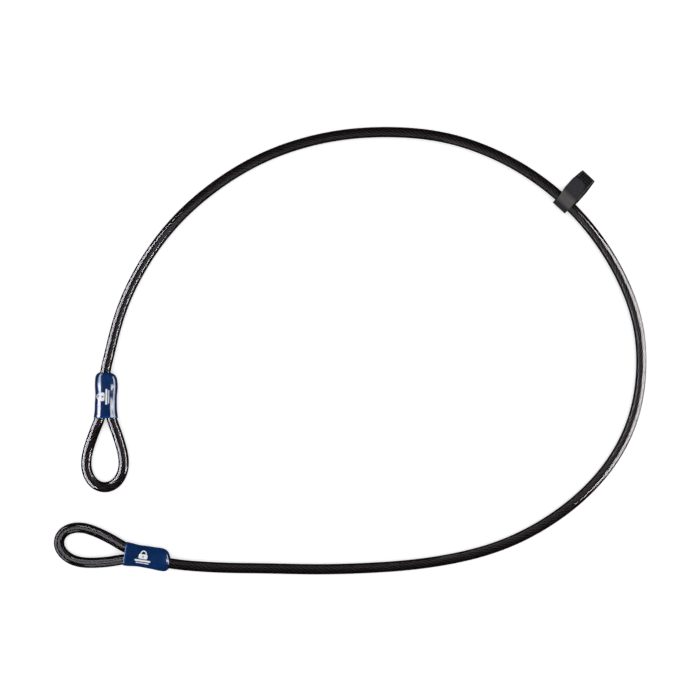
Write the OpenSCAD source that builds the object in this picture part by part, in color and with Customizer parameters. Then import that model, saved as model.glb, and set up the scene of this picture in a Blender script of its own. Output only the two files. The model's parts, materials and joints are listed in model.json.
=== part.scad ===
// Cable lock: a steel wire rope in a clear-smoke plastic sheath, turned back into a
// teardrop eye at each end. Each eye is held by a swaged ferrule under a blue boot.
// A hook-and-loop strap rides on the cable and ties it up when it is coiled.
// The cable lies flat, +Z up, with the origin under the middle of its outline.

/* [Cable] */
// Outside diameter of the sheathed cable
cable_d = 12; // [11:0.5:12]
// Diameter of the bare wire rope
rope_d = 6; // [5:0.5:8]
// Play between the rope and the bore of its sheath
rope_play = 0.2; // [0.1:0.05:0.3]

/* [Eyes] */
// Half width of the first eye, measured to the middle of the cable
eye_a_half_w = 21.5; // [20:0.5:23]
// Half width of the second eye
eye_b_half_w = 19.5; // [19:0.5:23]
// Length of the second eye as a share of the first
eye_b_stretch = 0.97; // [0.95:0.01:1.05]

/* [Ferrules] */
// Length of the swaged ferrule
ferrule_len = 24; // [20:1:24]
// Thickness of the swaged ferrule
ferrule_t = 12; // [11:0.5:12]
// Distance between the two runs of rope in the ferrule
rope_pitch = 10.6; // [10:0.2:10.6]

/* [Boots] */
// Half width of the boot around the ferrule
boot_half_w = 12.6; // [12.4:0.1:13.4]
// Half thickness of the boot around the ferrule
boot_half_t = 8.2; // [8:0.1:8.6]

/* [Strap] */
// Width of the hook-and-loop tape
strap_w = 19.5; // [16:0.5:22]
// Thickness of each tape
strap_t = 1.6; // [1.2:0.1:1.8]
// Reach of the lower tape past the middle of the cable
strap_reach = 41.8; // [38:0.2:48]
// Reach of the flap past the middle of the cable
flap_reach = 31.4; // [28:0.2:34]
// Play between the strap and the cable
strap_play = 0.5; // [0.4:0.1:0.8]

/* [Hidden] */

cable_r = cable_d / 2;
rope_r = rope_d / 2;
bore_r = rope_r + rope_play;
sides = 10;

// Place of each end: [x, y, heading of the eye], taken at the middle of the boot's mouth.
// Along u the eye's tip is ahead and the cable leaves behind, and v points to the left.
end_a = [-283, -78, -91];
end_b = [-260, -236, 171];
// Sideways drift of each eye for each millimetre along it
lean_a = -0.004;
lean_b = -0.034;

// Height of the rope's middle inside the boots, and where the strap lifts the cable
boot_z = boot_half_t + 0.4;
strap_z = cable_r + strap_t + strap_play;

// Ferrule from ferrule_u to mouth_u along the end's own axis
mouth_u = -9;
ferrule_u = mouth_u - ferrule_len;
rope_v = rope_pitch / 2;
boot_u = -51.5;

// Half of the teardrop's route, [u, v] from the ferrule to the tip, for a half width of 21.5
teardrop = [[-33, 5.3], [-25, 5.3], [-17, 5.3], [-9, 5.3], [-1, 6.1], [7, 8.8], [16, 12.5],
    [26, 16], [36, 19.2], [46, 21.4], [55, 22], [64, 20.6], [72, 16.8], [78, 11.2], [81.3, 4]];
teardrop_half_w = 21.5;
tail_ext = [[-49, 5.3], [-41, 5.3]];
// The way from each ferrule out of its boot, [u, v]
entry_a = [[-41, -4], [-49, -1.5], [-58, -0.7]];
entry_b = [[-41, 4.6], [-49, 3.2], [-58, 2.8]];

// The free run, [x, y, z], from the first boot round to the strap
run_a = [[-279, -6, 8], [-274, 17, 7], [-263, 56, 6.3], [-236, 109, 6], [-197, 158, 6],
    [-148, 198, 6], [-95, 228, 6], [-34, 247, 6.2], [26, 254, 7.2]];
// The free run from the strap round to the second boot
run_b = [[339, -39, 6.8], [326, -94, 6.1], [296, -144, 6], [252, -186, 6], [198, -219, 6],
    [144, -238, 6], [81, -249, 6], [24, -253, 6], [-39, -255, 6], [-98, -253, 6],
    [-143, -253, 6.6], [-190, -250, 8]];

// The stretch under the strap is an arc, so that the strap can slide along it
arc_x = 42;
arc_y = -49;
arc_r = 303;
strap_angle = 47;
arc_step = 11;
arc_reach = 3;
arc_control_r = arc_r / (1 - (1 - cos(arc_step)) / 3);

function place(end, q, z) =
    [end[0] + q[0] * cos(end[2]) - q[1] * sin(end[2]),
     end[1] + q[0] * sin(end[2]) + q[1] * cos(end[2]), z];

function smooth(x) = let (c = max(0, min(1, x))) c * c * (3 - 2 * c);

// The eye comes down from the boot's height to the ground towards its tip
function eye_z(u) = boot_z - (boot_z - cable_r) * smooth(u / 75);

function eye_point(q, side, half_w, stretch, lean) =
    let (
        grow = smooth(q[0] / 45),
        u = q[0] > 0 ? q[0] * stretch : q[0],
        v = q[1] * (1 + (half_w / teardrop_half_w - 1) * grow)
    )
    [u, side * v + lean * max(0, u)];

function eye_route(end, half_w, stretch, lean) = concat(
    [for (q = teardrop)
        place(end, eye_point(q, 1, half_w, stretch, lean), eye_z(q[0]))],
    [for (i = [len(teardrop) - 1:-1:0])
        place(end, eye_point(teardrop[i], -1, half_w, stretch, lean), eye_z(teardrop[i][0]))]);

function reversed(list) = [for (i = [len(list) - 1:-1:0]) list[i]];

// Control points of the whole rope, from one cut end to the other
route = concat(
    [for (q = tail_ext) place(end_a, q, boot_z)],
    eye_route(end_a, eye_a_half_w, 1, lean_a),
    [for (q = entry_a) place(end_a, q, boot_z)],
    run_a,
    [for (i = [arc_reach:-1:-arc_reach]) let (a = strap_angle + i * arc_step)
        [arc_x + arc_control_r * cos(a), arc_y + arc_control_r * sin(a), strap_z]],
    run_b,
    [for (q = reversed(entry_b)) place(end_b, q, boot_z)],
    eye_route(end_b, eye_b_half_w, eye_b_stretch, lean_b),
    [for (q = reversed(tail_ext)) place(end_b, [q[0], -q[1]], boot_z)]);

// Where the stretches begin and end, counted in control points along the route
n_eye = 2 * len(teardrop);
t_last = len(route) - 1;
t_tail = 1.7;
t_eye = len(tail_ext) + 3.85;
t_eye_end = len(tail_ext) + n_eye - 1 - 3.85;
t_run = len(tail_ext) + n_eye - 1 + 0.7;
t_open = t_run + 3.3;

// A uniform cubic B-spline through the control points p, and its heading
function spline(p, t) =
    let (i = max(1, min(floor(t), len(p) - 3)), f = t - i)
    (pow(1 - f, 3) * p[i - 1] + (3 * pow(f, 3) - 6 * f * f + 4) * p[i]
        + (3 * f + 3 * f * f - 3 * pow(f, 3) + 1) * p[i + 1] + pow(f, 3) * p[i + 2]) / 6;
function heading(p, t) =
    let (
        i = max(1, min(floor(t), len(p) - 3)),
        f = t - i,
        d = -pow(1 - f, 2) * p[i - 1] + (3 * f * f - 4 * f) * p[i]
            + (1 + 2 * f - 3 * f * f) * p[i + 1] + f * f * p[i + 2]
    )
    d / norm(d);

// One ring of the tube at t
function ring(t, r) =
    let (
        c = spline(route, t),
        h = heading(route, t),
        across = cross([0, 0, 1], h) / norm(cross([0, 0, 1], h)),
        up = cross(h, across)
    )
    [for (k = [0:sides - 1]) let (a = 90 + k * 360 / sides)
        c + r * (across * cos(a) + up * sin(a))];

function steps(from, to, n) = [for (i = [0:n]) from + (to - from) * i / n];
function inner_steps(from, to, n) = [for (i = [1:n - 1]) from + (to - from) * i / n];

run_times = concat(
    steps(t_run, t_open, 4),
    inner_steps(t_open, t_last - t_open, 46),
    steps(t_last - t_open, t_last - t_run, 4));
eye_times = steps(t_eye, t_eye_end, 13);
eye_b_times = [for (t = reversed(eye_times)) t_last - t];
ferrule_times_in = [t_tail, len(tail_ext) + 2.7];
ferrule_times_out = [t_eye_end + 1.25, len(tail_ext) + n_eye - 1 - 0.2];
rope_half = concat(ferrule_times_in, eye_times, ferrule_times_out);
rope_times = concat(rope_half, run_times, [for (t = reversed(rope_half)) t_last - t]);

// Quads between ring i and ring i + 1 of a tube whose points start at `first`
function skin(first, n, flip) = [for (i = [0:n - 2], k = [0:sides - 1])
    let (
        a = first + i * sides + k,
        b = first + i * sides + (k + 1) % sides,
        quad = [a, b, b + sides, a + sides]
    )
    flip ? quad : reversed(quad)];

module rod(times, r) {
    n = len(times);
    points = [for (t = times) each ring(t, r)];
    front = [for (k = [0:sides - 1]) k];
    back = [for (k = [0:sides - 1]) (n - 1) * sides + sides - 1 - k];
    polyhedron(points, concat(skin(0, n, false), [front, back]), convexity = 10);
}

module pipe(times, r_out, r_in) {
    n = len(times);
    inner = n * sides;
    last = (n - 1) * sides;
    points = concat([for (t = times) each ring(t, r_out)], [for (t = times) each ring(t, r_in)]);
    front = [for (k = [0:sides - 1])
        [k, (k + 1) % sides, inner + (k + 1) % sides, inner + k]];
    back = [for (k = [0:sides - 1])
        [last + k, inner + last + k, inner + last + (k + 1) % sides, last + (k + 1) % sides]];
    polyhedron(points, concat(skin(0, n, false), skin(inner, n, true), front, back),
        convexity = 10);
}

module wire_rope() {
    color([0.45, 0.44, 0.43])
        rod(rope_times, rope_r);
}

module sheath_main() {
    color([0.16, 0.15, 0.17])
        pipe(run_times, cable_r, bore_r);
}

module sheath_eye_a() {
    color([0.18, 0.17, 0.19])
        pipe(eye_times, cable_r, bore_r);
}

module sheath_eye_b() {
    color([0.18, 0.17, 0.19])
        pipe(eye_b_times, cable_r, bore_r);
}

// Turns the end's own axes, [u, v], into the part's
module at_end(end) {
    translate([end[0], end[1], boot_z])
        rotate([0, 0, end[2]])
            children();
}

// A block with round sides, from u0 to u1, around two lines at v0 and v1
module slot_block(u0, u1, v0, v1, r) {
    translate([u0, 0, 0])
        rotate([90, 0, 90])
            linear_extrude(height = u1 - u0) {
                translate([v0, 0])
                    circle(r = r, $fn = 48);
                translate([v1, 0])
                    circle(r = r, $fn = 48);
                translate([v0, -r])
                    square([v1 - v0, 2 * r]);
            }
}

module rod_along_u(u0, u1, v, r) {
    translate([u0, v, 0])
        rotate([0, 90, 0])
            cylinder(h = u1 - u0, r = r, $fn = 48);
}

// A swaged oval ferrule: its two bores and the four lands left by the press
module ferrule() {
    swage_fit = 0.05;
    land_len = 4.2;
    groove = 0.35;
    lands = 4;
    land_gap = (ferrule_len - lands * land_len) / (lands - 1);
    difference() {
        union() {
            slot_block(ferrule_u, mouth_u, -rope_v, rope_v, ferrule_t / 2 - groove);
            for (i = [0:lands - 1]) {
                u = ferrule_u + i * (land_len + land_gap);
                slot_block(u, u + land_len, -rope_v, rope_v, ferrule_t / 2);
            }
        }
        for (side = [-1, 1])
            rod_along_u(ferrule_u - 1, mouth_u + 1, side * rope_v, rope_r + swage_fit);
    }
}

module ferrule_a() {
    color([0.75, 0.76, 0.78])
        at_end(end_a)
            ferrule();
}

module ferrule_b() {
    color([0.75, 0.76, 0.78])
        at_end(end_b)
            ferrule();
}

// Outline of the boot along its length: [u, extra half width, extra half thickness, shift]
// shift is the share of the way from the boot's axis to where the cable leaves
boot_profile = [
    [boot_u, -5.2, -1.3, 1],
    [boot_u + 0.9, -3.6, -0.8, 0.8],
    [boot_u + 2.5, -1.7, -0.3, 0.55],
    [boot_u + 5, -0.4, 0, 0.3],
    [boot_u + 8.5, 0.3, 0.2, 0.1],
    [boot_u + 13.5, 0.5, 0.3, 0],
    [boot_u + 19.5, 0.3, 0.2, 0],
    [boot_u + 27.5, 0, 0, 0],
    [boot_u + 35.5, 0, 0, 0],
    [boot_u + 42.5, 0.4, 0.1, 0],
    [boot_u + 48.5, 1, 0.3, 0],
    [0, 1.3, 0.4, 0]];
boot_sides = 32;
boot_squareness = 2.3;

function squircle(a, b, angle) =
    let (c = cos(angle), s = sin(angle), e = 2 / boot_squareness)
    [a * sign(c) * pow(abs(c), e), b * sign(s) * pow(abs(s), e)];

module boot_skin(exit_v) {
    n = len(boot_profile);
    points = [for (p = boot_profile, k = [0:boot_sides - 1])
        let (q = squircle(boot_half_w + p[1], boot_half_t + p[2], k * 360 / boot_sides))
        [p[0], q[0] + p[3] * exit_v, q[1]]];
    walls = [for (i = [0:n - 2], k = [0:boot_sides - 1])
        let (a = i * boot_sides + k, b = i * boot_sides + (k + 1) % boot_sides)
        [a, a + boot_sides, b + boot_sides, b]];
    top = [for (k = [0:boot_sides - 1]) k];
    mouth = [for (k = [boot_sides - 1:-1:0]) (n - 1) * boot_sides + k];
    polyhedron(points, concat(walls, [top, mouth]), convexity = 6);
}

// The soft boot over the ferrule. The cable leaves through the narrow end at exit_v, and
// turns inside the boot towards its own side of the ferrule
module boot(exit_v) {
    pocket_play = 0.2;
    cable_play = 0.3;
    leg_tilt = 19;
    leg_v = 6.7;
    hand = sign(exit_v);
    hole_r = cable_r + cable_play;
    difference() {
        boot_skin(exit_v);
        // pocket for the ferrule and the rope's cut end
        slot_block(ferrule_u - 5, mouth_u + 0.5, -rope_v, rope_v, ferrule_t / 2 + pocket_play);
        // the cable's way in: the hole, then two steps sideways
        rod_along_u(boot_u - 1, boot_u + 3, exit_v, hole_r + 0.1);
        slot_block(boot_u + 2, boot_u + 9, min(exit_v, exit_v + 1.6 * hand),
            max(exit_v, exit_v + 1.6 * hand), hole_r);
        slot_block(boot_u + 7, boot_u + 14, min(exit_v, hand * rope_v),
            max(exit_v, hand * rope_v), hole_r);
        // the two legs of the eye
        for (side = [-1, 1])
            translate([0, side * leg_v, 0])
                rotate([0, 0, side * leg_tilt])
                    rod_along_u(mouth_u - 1, 6, 0, hole_r);
    }
}

module boot_a() {
    color([0.02, 0.1, 0.35])
        at_end(end_a)
            boot(entry_a[1][1]);
}

module boot_b() {
    color([0.02, 0.1, 0.35])
        at_end(end_b)
            boot(entry_b[1][1]);
}

// The strap is drawn across the cable: w outwards from the arc, z up
bend_r = cable_r + strap_play + strap_t;
bend_w = -2.5;
hinge_w = 3;
patch_w = 12;
patch_t = 1.6;
flap_play = 0.2;
tail_shift = -0.6;
flap_shift = 0.8;
flat_z = strap_t + patch_t + flap_play + strap_t / 2;
top_z = 2 * bend_r - strap_t / 2;

module at_strap(shift) {
    translate([arc_x, arc_y, 0])
        rotate([0, 0, strap_angle])
            translate([arc_r, shift, 0])
                children();
}

// Extrudes an outline drawn in [w, z] over the strap's width
module across_strap(width) {
    rotate([90, 0, 0])
        linear_extrude(height = width, center = true)
            children();
}

module band_outline() {
    difference() {
        translate([bend_w, bend_r])
            circle(r = bend_r, $fn = 72);
        translate([bend_w, bend_r])
            circle(r = bend_r - strap_t, $fn = 72);
        translate([bend_w, -1])
            square([bend_r + 1, 2 * bend_r + 2]);
    }
    translate([bend_w, 2 * bend_r - strap_t])
        square([hinge_w - bend_w, strap_t]);
    translate([bend_w, 0])
        square([strap_reach - bend_w, strap_t]);
}

// The tape that passes under and around the cable
module strap_band() {
    color([0.13, 0.13, 0.14])
        at_strap(tail_shift)
            across_strap(strap_w)
                band_outline();
}

// The hook tape sewn on the lower tape
module hook_patch() {
    color([0.09, 0.09, 0.1])
        at_strap(tail_shift)
            translate([patch_w, -strap_w / 2 + 0.4, strap_t])
                cube([strap_reach - patch_w - 0.3, strap_w - 0.8, patch_t]);
}

// Two seams of thread that hold the hook tape
module patch_stitching() {
    stitch = 2.4;
    pitch = 3.2;
    thread_r = 0.3;
    seam_inset = 1.6;
    count = floor((strap_reach - patch_w - 2) / pitch);
    color([0.05, 0.05, 0.05])
        at_strap(tail_shift)
            for (side = [-1, 1], i = [0:count - 1])
                translate([patch_w + 1 + i * pitch, side * (strap_w / 2 - seam_inset),
                        strap_t + patch_t - thread_r])
                    rotate([0, 90, 0])
                        cylinder(h = stitch, r = thread_r, $fn = 16);
}

// Middle line of the flap from the hinge down to the hook tape, [w, z]
flap_route = [[hinge_w - 2.6, top_z + 0.1], [hinge_w, top_z], [hinge_w + 2.6, top_z - 0.6],
    [hinge_w + 4.7, top_z - 2.9], [hinge_w + 5.6, top_z - 5.8], [hinge_w + 6.6, top_z - 8.6],
    [hinge_w + 8.6, flat_z + 0.6], [hinge_w + 11.6, flat_z], [hinge_w + 15, flat_z],
    [hinge_w + 18, flat_z]];
function flap_side(t, offset) =
    let (h = heading(flap_route, t)) spline(flap_route, t) + offset * [-h[1], h[0]];

module flap_outline() {
    times = steps(1, len(flap_route) - 3, 24);
    half_t = strap_t / 2;
    polygon(concat(
        [[hinge_w, 2 * bend_r]],
        [for (i = [1:len(times) - 1]) flap_side(times[i], half_t)],
        [[flap_reach + 1, flat_z + half_t], [flap_reach + 1, flat_z - half_t]],
        [for (i = [len(times) - 1:-1:1]) flap_side(times[i], -half_t)],
        [[hinge_w, 2 * bend_r - strap_t]]));
}

// The free end of the tape, with its round tip, pressed on the hook tape
module strap_flap() {
    tip_r = 7;
    color([0.17, 0.17, 0.18])
        at_strap(flap_shift)
            intersection() {
                across_strap(strap_w)
                    flap_outline();
                linear_extrude(height = 3 * bend_r) {
                    translate([hinge_w, -strap_w / 2])
                        square([flap_reach - tip_r - hinge_w, strap_w]);
                    translate([hinge_w, -strap_w / 2 + tip_r])
                        square([flap_reach - hinge_w, strap_w - 2 * tip_r]);
                    for (side = [-1, 1])
                        translate([flap_reach - tip_r, side * (strap_w / 2 - tip_r)])
                            circle(r = tip_r, $fn = 48);
                }
            }
}

wire_rope();
sheath_main();
sheath_eye_a();
sheath_eye_b();
ferrule_a();
ferrule_b();
boot_a();
boot_b();
strap_band();
hook_patch();
patch_stitching();
strap_flap();
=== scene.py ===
import json
import math

import bpy
import numpy as np
from mathutils import Matrix, Vector

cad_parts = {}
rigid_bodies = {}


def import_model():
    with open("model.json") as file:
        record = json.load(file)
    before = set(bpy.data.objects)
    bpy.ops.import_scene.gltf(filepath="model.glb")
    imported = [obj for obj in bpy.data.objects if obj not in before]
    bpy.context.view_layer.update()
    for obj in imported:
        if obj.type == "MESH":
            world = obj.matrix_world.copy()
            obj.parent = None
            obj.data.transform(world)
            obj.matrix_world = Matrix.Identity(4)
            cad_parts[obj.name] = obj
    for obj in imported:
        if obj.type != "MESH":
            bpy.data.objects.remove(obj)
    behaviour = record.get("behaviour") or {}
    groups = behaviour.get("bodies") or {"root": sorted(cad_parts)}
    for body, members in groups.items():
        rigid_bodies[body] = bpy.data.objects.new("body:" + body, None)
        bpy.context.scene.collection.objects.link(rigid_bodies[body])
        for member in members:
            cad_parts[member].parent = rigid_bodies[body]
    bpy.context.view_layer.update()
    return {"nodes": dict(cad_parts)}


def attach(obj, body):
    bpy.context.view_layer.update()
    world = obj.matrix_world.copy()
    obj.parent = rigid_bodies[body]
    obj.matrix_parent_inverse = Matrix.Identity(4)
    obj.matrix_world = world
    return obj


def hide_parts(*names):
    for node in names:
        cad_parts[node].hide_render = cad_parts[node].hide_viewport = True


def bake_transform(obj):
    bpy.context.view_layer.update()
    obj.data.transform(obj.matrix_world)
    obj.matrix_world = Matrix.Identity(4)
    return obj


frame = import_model()

MM = 0.001
rng = np.random.default_rng(12)

# ---------------------------------------------------------------- camera

VIEW_W = 0.812  # width of the ground that the photograph takes in
LENS, SENSOR = 100, 36
camera = bpy.data.objects.new("camera", bpy.data.cameras.new("camera"))
camera.data.lens = LENS
camera.data.sensor_width = SENSOR
camera.location = (0, 0, 0.006 + VIEW_W * LENS / SENSOR)
camera.data.clip_end = 100
bpy.context.scene.collection.objects.link(camera)
bpy.context.scene.camera = camera

# ---------------------------------------------------------------- the rope's route

# Millimetres and degrees. All but the two lays repeat part.scad's numbers.
CABLE_R = 6.0
ROPE_R = 3.0
ROPE_LAY = 39  # length of one turn of a strand
WIRE_LAY = 4.2  # and of a wire in its strand
# x, y and heading of each eye, at the middle of its boot's mouth
END_A = (-283, -78, -91)
END_B = (-260, -236, 171)
EYE_A = dict(half_w=21.5, stretch=1.0, lean=-0.004)
EYE_B = dict(half_w=19.5, stretch=0.97, lean=-0.034)
BOOT_W, BOOT_T = 12.6, 8.2
BOOT_Z = BOOT_T + 0.4
# half of an eye's route from the ferrule to the tip: u along the end's axis, v to its side
TEARDROP = [
    (-33, 5.3), (-25, 5.3), (-17, 5.3), (-9, 5.3), (-1, 6.1), (7, 8.8), (16, 12.5), (26, 16),
    (36, 19.2), (46, 21.4), (55, 22), (64, 20.6), (72, 16.8), (78, 11.2), (81.3, 4)]
TEARDROP_W = 21.5
WIDTH_U, GROUND_U = 45, 75  # u where an eye has its full width, and where it lies on the ground
TAIL = [(-49, 5.3), (-41, 5.3)]
# the way from each ferrule out of its boot, and on round the free run
ENTRY_A = [(-41, -4), (-49, -1.5), (-58, -0.7)]
ENTRY_B = [(-41, 4.6), (-49, 3.2), (-58, 2.8)]
RUN_A = [
    (-279, -6, 8), (-274, 17, 7), (-263, 56, 6.3), (-236, 109, 6), (-197, 158, 6),
    (-148, 198, 6), (-95, 228, 6), (-34, 247, 6.2), (26, 254, 7.2)]
RUN_B = [
    (339, -39, 6.8), (326, -94, 6.1), (296, -144, 6), (252, -186, 6), (198, -219, 6),
    (144, -238, 6), (81, -249, 6), (24, -253, 6), (-39, -255, 6), (-98, -253, 6),
    (-143, -253, 6.6), (-190, -250, 8)]
ARC_X, ARC_Y, ARC_R = 42, -49, 303
ARC_STEP, ARC_REACH = 11, 3
STRAP_ANGLE = 47
STRAP_T, STRAP_PLAY = 1.6, 0.5
STRAP_Z = CABLE_R + STRAP_T + STRAP_PLAY


def smooth(x):
    """0 to 1 with level ends."""
    x = np.clip(x, 0.0, 1.0)
    return x * x * (3 - 2 * x)


def place(end, u, v, z):
    """The point u, v of an end's own axes."""
    a = math.radians(end[2])
    return (end[0] + u * math.cos(a) - v * math.sin(a),
            end[1] + u * math.sin(a) + v * math.cos(a), z)


def eye_route(end, half_w, stretch, lean):
    """Control points of an eye, from its ferrule round the tip and back."""
    def point(q, side):
        u = q[0] * stretch if q[0] > 0 else q[0]
        v = q[1] * (1 + (half_w / TEARDROP_W - 1) * smooth(q[0] / WIDTH_U))
        z = BOOT_Z - (BOOT_Z - CABLE_R) * smooth(q[0] / GROUND_U)
        return place(end, u, side * v + lean * max(0, u), z)
    return [point(q, 1) for q in TEARDROP] + [point(q, -1) for q in reversed(TEARDROP)]


def strap_arc():
    """Control points of the arc that the strap slides along."""
    r = ARC_R / (1 - (1 - math.cos(math.radians(ARC_STEP))) / 3)
    steps = range(ARC_REACH, -ARC_REACH - 1, -1)
    angles = [math.radians(STRAP_ANGLE + i * ARC_STEP) for i in steps]
    return [(ARC_X + r * math.cos(a), ARC_Y + r * math.sin(a), STRAP_Z) for a in angles]


ROUTE = np.array(
    [place(END_A, u, v, BOOT_Z) for u, v in TAIL]
    + eye_route(END_A, **EYE_A)
    + [place(END_A, u, v, BOOT_Z) for u, v in ENTRY_A]
    + RUN_A + strap_arc() + RUN_B
    + [place(END_B, u, v, BOOT_Z) for u, v in reversed(ENTRY_B)]
    + eye_route(END_B, **EYE_B)
    + [place(END_B, u, -v, BOOT_Z) for u, v in reversed(TAIL)], float) * MM
# where the rope, the first eye's sheath and the run's begin or end, counted in control points
T_LAST = len(ROUTE) - 1
T_TAIL = 1.7
T_EYE = (5.85, 27.15)
T_RUN = 31.7


def spline(points, t):
    """Points and headings of the uniform cubic B-spline through the control points."""
    t = np.asarray(t, float)
    i = np.clip(np.floor(t).astype(int), 1, len(points) - 3)
    f = (t - i)[:, None]
    p = [points[i + k] for k in (-1, 0, 1, 2)]
    at = ((1 - f) ** 3 * p[0] + (3 * f ** 3 - 6 * f * f + 4) * p[1]
          + (3 * f + 3 * f * f - 3 * f ** 3 + 1) * p[2] + f ** 3 * p[3]) / 6
    d = (-(1 - f) ** 2 * p[0] + (3 * f * f - 4 * f) * p[1]
         + (1 + 2 * f - 3 * f * f) * p[2] + f * f * p[3])
    return at, d / np.linalg.norm(d, axis=1)[:, None]


def even_steps(t0, t1, step):
    """Values of t that cut the route from t0 to t1 into equal lengths, and the lengths."""
    fine = np.linspace(t0, t1, 12000)
    at, _ = spline(ROUTE, fine)
    s = np.concatenate([[0], np.cumsum(np.linalg.norm(np.diff(at, axis=0), axis=1))])
    n = max(2, int(round(s[-1] / step)))
    marks = np.linspace(0, s[-1], n + 1)
    return np.interp(marks, s, fine), marks


def frames(heading):
    """Level and upright directions square to each heading."""
    across = np.cross([0, 0, 1], heading)
    across /= np.linalg.norm(across, axis=1)[:, None]
    return across, np.cross(heading, across)


# ---------------------------------------------------------------- meshes


def grid_faces(rows, columns, closed=True, start=0):
    """Four-cornered faces of a grid of points, whose rows close into rings unless told not to."""
    last = columns if closed else columns - 1
    a = start + np.arange(rows - 1)[:, None] * columns + np.arange(last)[None]
    b = start + np.arange(rows - 1)[:, None] * columns + (np.arange(last)[None] + 1) % columns
    quads = np.stack([a, b, b + columns, a + columns], -1).reshape(-1, 4)
    return quads.tolist()


def tube_faces(rows, sides, start=0):
    """Faces of a closed tube with a cap at each end."""
    caps = [start + np.arange(sides)[::-1], start + (rows - 1) * sides + np.arange(sides)]
    return grid_faces(rows, sides, start=start) + [cap.tolist() for cap in caps]


def make(name, points, faces, material, body=None, coords=None, smooth_faces=True):
    """A mesh object. coords are named point vectors that its material reads."""
    mesh = bpy.data.meshes.new(name)
    mesh.from_pydata(np.asarray(points, float).tolist(), [], faces)
    for key, values in (coords or {}).items():
        attribute = mesh.attributes.new(key, "FLOAT_VECTOR", "POINT")
        attribute.data.foreach_set("vector", np.asarray(values, np.float32).ravel())
    mesh.polygons.foreach_set("use_smooth", [smooth_faces and len(f) == 4 for f in faces])
    mesh.update()
    mesh.validate()
    obj = bpy.data.objects.new(name, mesh)
    bpy.context.scene.collection.objects.link(obj)
    mesh.materials.append(material)
    if body:
        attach(obj, body)
    return obj


def swept_tube(t, s, radius, sides):
    """Points, faces, surface coordinates and middle line of a closed tube along the route."""
    at, heading = spline(ROUTE, t)
    across, up = frames(heading)
    a = math.pi / 2 + np.arange(sides) * 2 * math.pi / sides
    rings = at[:, None] + radius * (across[:, None] * np.cos(a)[:, None]
                                    + up[:, None] * np.sin(a)[:, None])
    n = len(t)
    along = np.repeat(s, sides)
    round_ = np.tile(a, n)
    coords = np.stack([along, np.cos(round_) * radius, np.sin(round_) * radius], 1)
    return rings.reshape(-1, 3), tube_faces(n, sides), coords, at


# ---------------------------------------------------------------- materials


class Paint:
    """A material with one Principled shader, and short calls that add nodes to it."""

    def __init__(self, name, **values):
        self.material = bpy.data.materials.new(name)
        self.material.use_nodes = True
        self.tree = self.material.node_tree
        self.shader = self.tree.nodes["Principled BSDF"]
        for key, value in values.items():
            self.put(self.shader.inputs[key.replace("_", " ").title().replace("Ior", "IOR")], value)

    def put(self, socket, value):
        if isinstance(value, bpy.types.NodeSocket):
            self.tree.links.new(value, socket)
        elif isinstance(value, tuple) and len(value) == 3 and socket.type == "RGBA":
            socket.default_value = (*value, 1)
        else:
            socket.default_value = value

    def set(self, key, value):
        self.put(self.shader.inputs[key], value)

    def node(self, kind, inputs=(), **props):
        n = self.tree.nodes.new("ShaderNode" + kind)
        for key, value in props.items():
            setattr(n, key, value)
        for key, value in dict(inputs).items():
            self.put(n.inputs[key], value)
        return n

    def coords(self, name):
        return self.node("Attribute", attribute_name=name).outputs["Vector"]

    def place(self):
        return self.node("TexCoord").outputs["Object"]

    def scaled(self, vector, scale, turn=(0, 0, 0)):
        n = self.node("Mapping", {"Vector": vector, "Scale": scale, "Rotation": turn})
        return n.outputs["Vector"]

    def noise(self, vector, scale, detail=3.0, rough=0.55):
        n = self.node("TexNoise", {"Vector": vector, "Scale": scale, "Detail": detail,
                                   "Roughness": rough})
        return n.outputs["Fac"]

    def wave(self, vector, scale):
        n = self.node("TexWave", {"Vector": vector, "Scale": scale}, bands_direction="X")
        return n.outputs["Fac"]

    def axis(self, vector, name):
        return self.node("SeparateXYZ", {"Vector": vector}).outputs[name]

    def math(self, operation, a, b=0.0):
        return self.node("Math", {0: a, 1: b}, operation=operation).outputs[0]

    def between(self, value, low, high, to_low=0.0, to_high=1.0):
        n = self.node("MapRange", {"Value": value, "From Min": low, "From Max": high,
                                   "To Min": to_low, "To Max": to_high})
        return n.outputs["Result"]

    def blend(self, share, a, b):
        n = self.node("Mix", data_type="RGBA")
        for socket, value in ((n.inputs[0], share), (n.inputs[6], a), (n.inputs[7], b)):
            self.put(socket, value)
        return n.outputs[2]

    def bump(self, height, distance, strength=1.0, normal=None):
        inputs = {"Height": height, "Distance": distance, "Strength": strength}
        if normal is not None:
            inputs["Normal"] = normal
        return self.node("Bump", inputs).outputs["Normal"]


# Linear colours. A pair is the two ends of a mottle.
SMOKE, SMOKE_DENSITY = (0.385, 0.36, 0.365), 830.0
SHEATH_TINTS = (0.60, 0.56, 0.58), (0.75, 0.71, 0.73)
STEELS = (0.46, 0.37, 0.31), (0.72, 0.66, 0.61)
# painted shade for the grooves between the rope's wires, and oil with painted shade for its
# strands' flanks
STEEL_GROOVE_SHADE, STEEL_OIL_AND_SHADE = (0.16, 0.13, 0.115), (0.085, 0.075, 0.078)
BOOT_BLUES = (0.0004, 0.018, 0.086), (0.0008, 0.028, 0.120)
BOOT_SCUFF, BOOT_LIP_PAINTED_LIGHT = (0.10, 0.17, 0.32), (0.005, 0.075, 0.26)
PRINT_WHITES = (0.86, 0.87, 0.88), (0.66, 0.69, 0.74)
ALUMINIUMS = (0.50, 0.50, 0.51), (0.74, 0.74, 0.73)
TAPE_BLACKS = (0.020, 0.019, 0.024), (0.042, 0.039, 0.046)
HOOK_TONES = (0.036, 0.034, 0.036), (0.070, 0.066, 0.069)
HOOK_EDGE, HOOK_GROUND_SHADE = (0.016, 0.015, 0.016), (0.0015, 0.0015, 0.002)
THREAD_TWIST_SHADE_TONES = (0.018, 0.018, 0.022), (0.070, 0.068, 0.074)


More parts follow.
